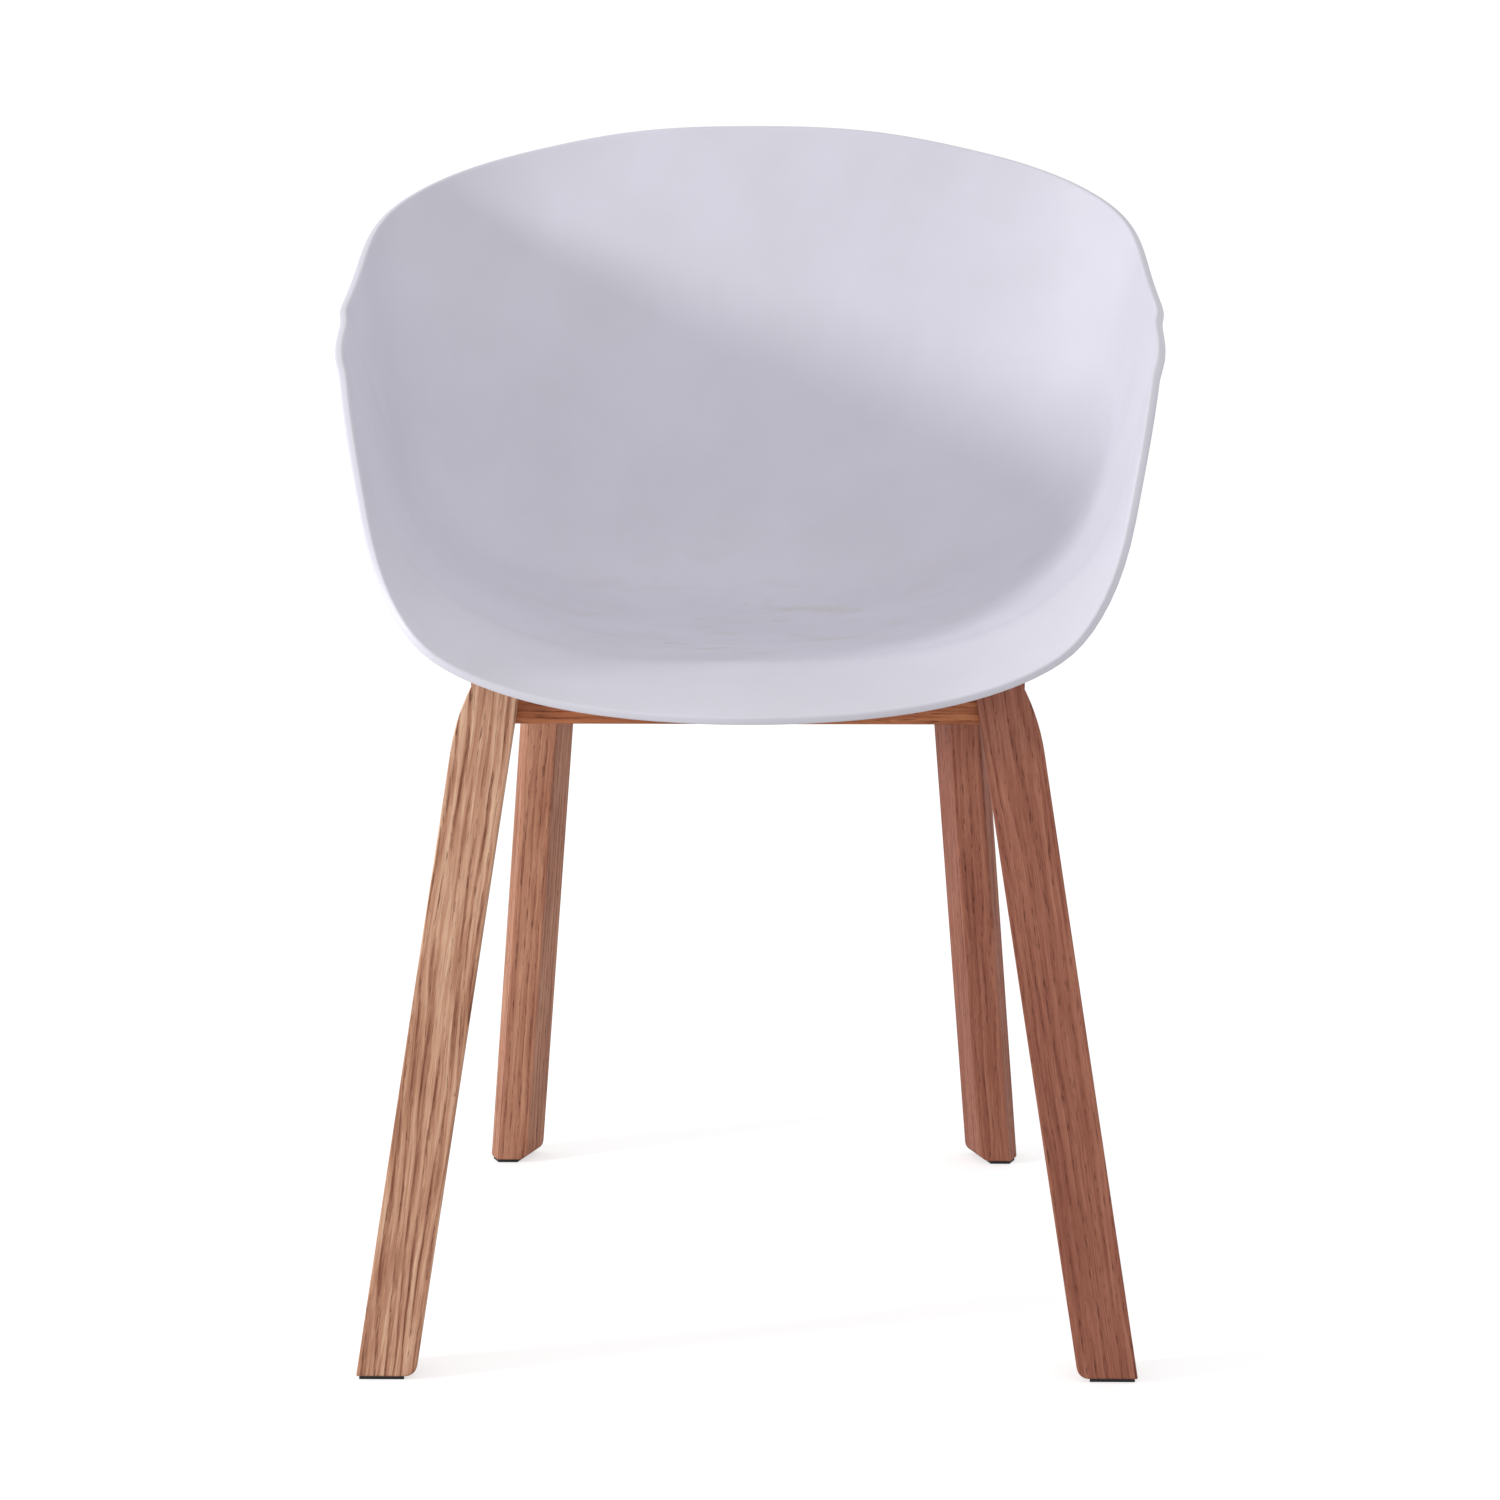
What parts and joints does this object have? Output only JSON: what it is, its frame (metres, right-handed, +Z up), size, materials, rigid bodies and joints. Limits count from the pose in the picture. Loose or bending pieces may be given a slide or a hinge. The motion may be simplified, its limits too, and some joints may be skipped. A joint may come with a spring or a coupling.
{
  "type": "dining armchair",
  "caption": "Dining armchair with a one-piece white moulded bucket shell on a splayed, stained wooden leg base.",
  "frame": {"origin": "on the floor, under the middle of the chair's overall box", "axes": "+Z up, -Y is where the sitter faces, +X is the right-hand side seen from the front"},
  "size_m": [0.5722, 0.5154, 0.793],
  "materials": {
    "shell_plastic": "fine satin, dyed through",
    "stained_ash": "open-grained, stained reddish brown, satin lacquer",
    "plain_beech": "raw",
    "glide_plastic": "matte",
    "zinc_steel": "zinc plated",
    "black_steel": "black oxide",
    "insert_brass": "turned",
    "pad_rubber": "matte"
  },
  "bodies": {
    "root": {"seat_shell": "shell_plastic", "front_left_leg": "stained_ash", "front_right_leg": "stained_ash", "rear_left_leg": "stained_ash", "rear_right_leg": "stained_ash", "front_rail": "stained_ash", "rear_rail": "stained_ash", "left_side_rail": "stained_ash", "right_side_rail": "stained_ash", "front_left_corner_block": "stained_ash", "front_right_corner_block": "stained_ash", "rear_left_corner_block": "stained_ash", "rear_right_corner_block": "stained_ash", "rail_dowels": "plain_beech", "front_left_glide": "glide_plastic", "front_right_glide": "glide_plastic", "rear_left_glide": "glide_plastic", "rear_right_glide": "glide_plastic", "glide_nails": "zinc_steel", "corner_block_screws": "zinc_steel", "shell_bolts": "black_steel", "shell_bolt_washers": "zinc_steel", "shell_inserts": "insert_brass", "spacer_pads": "pad_rubber"}
  },
  "joints": []
}
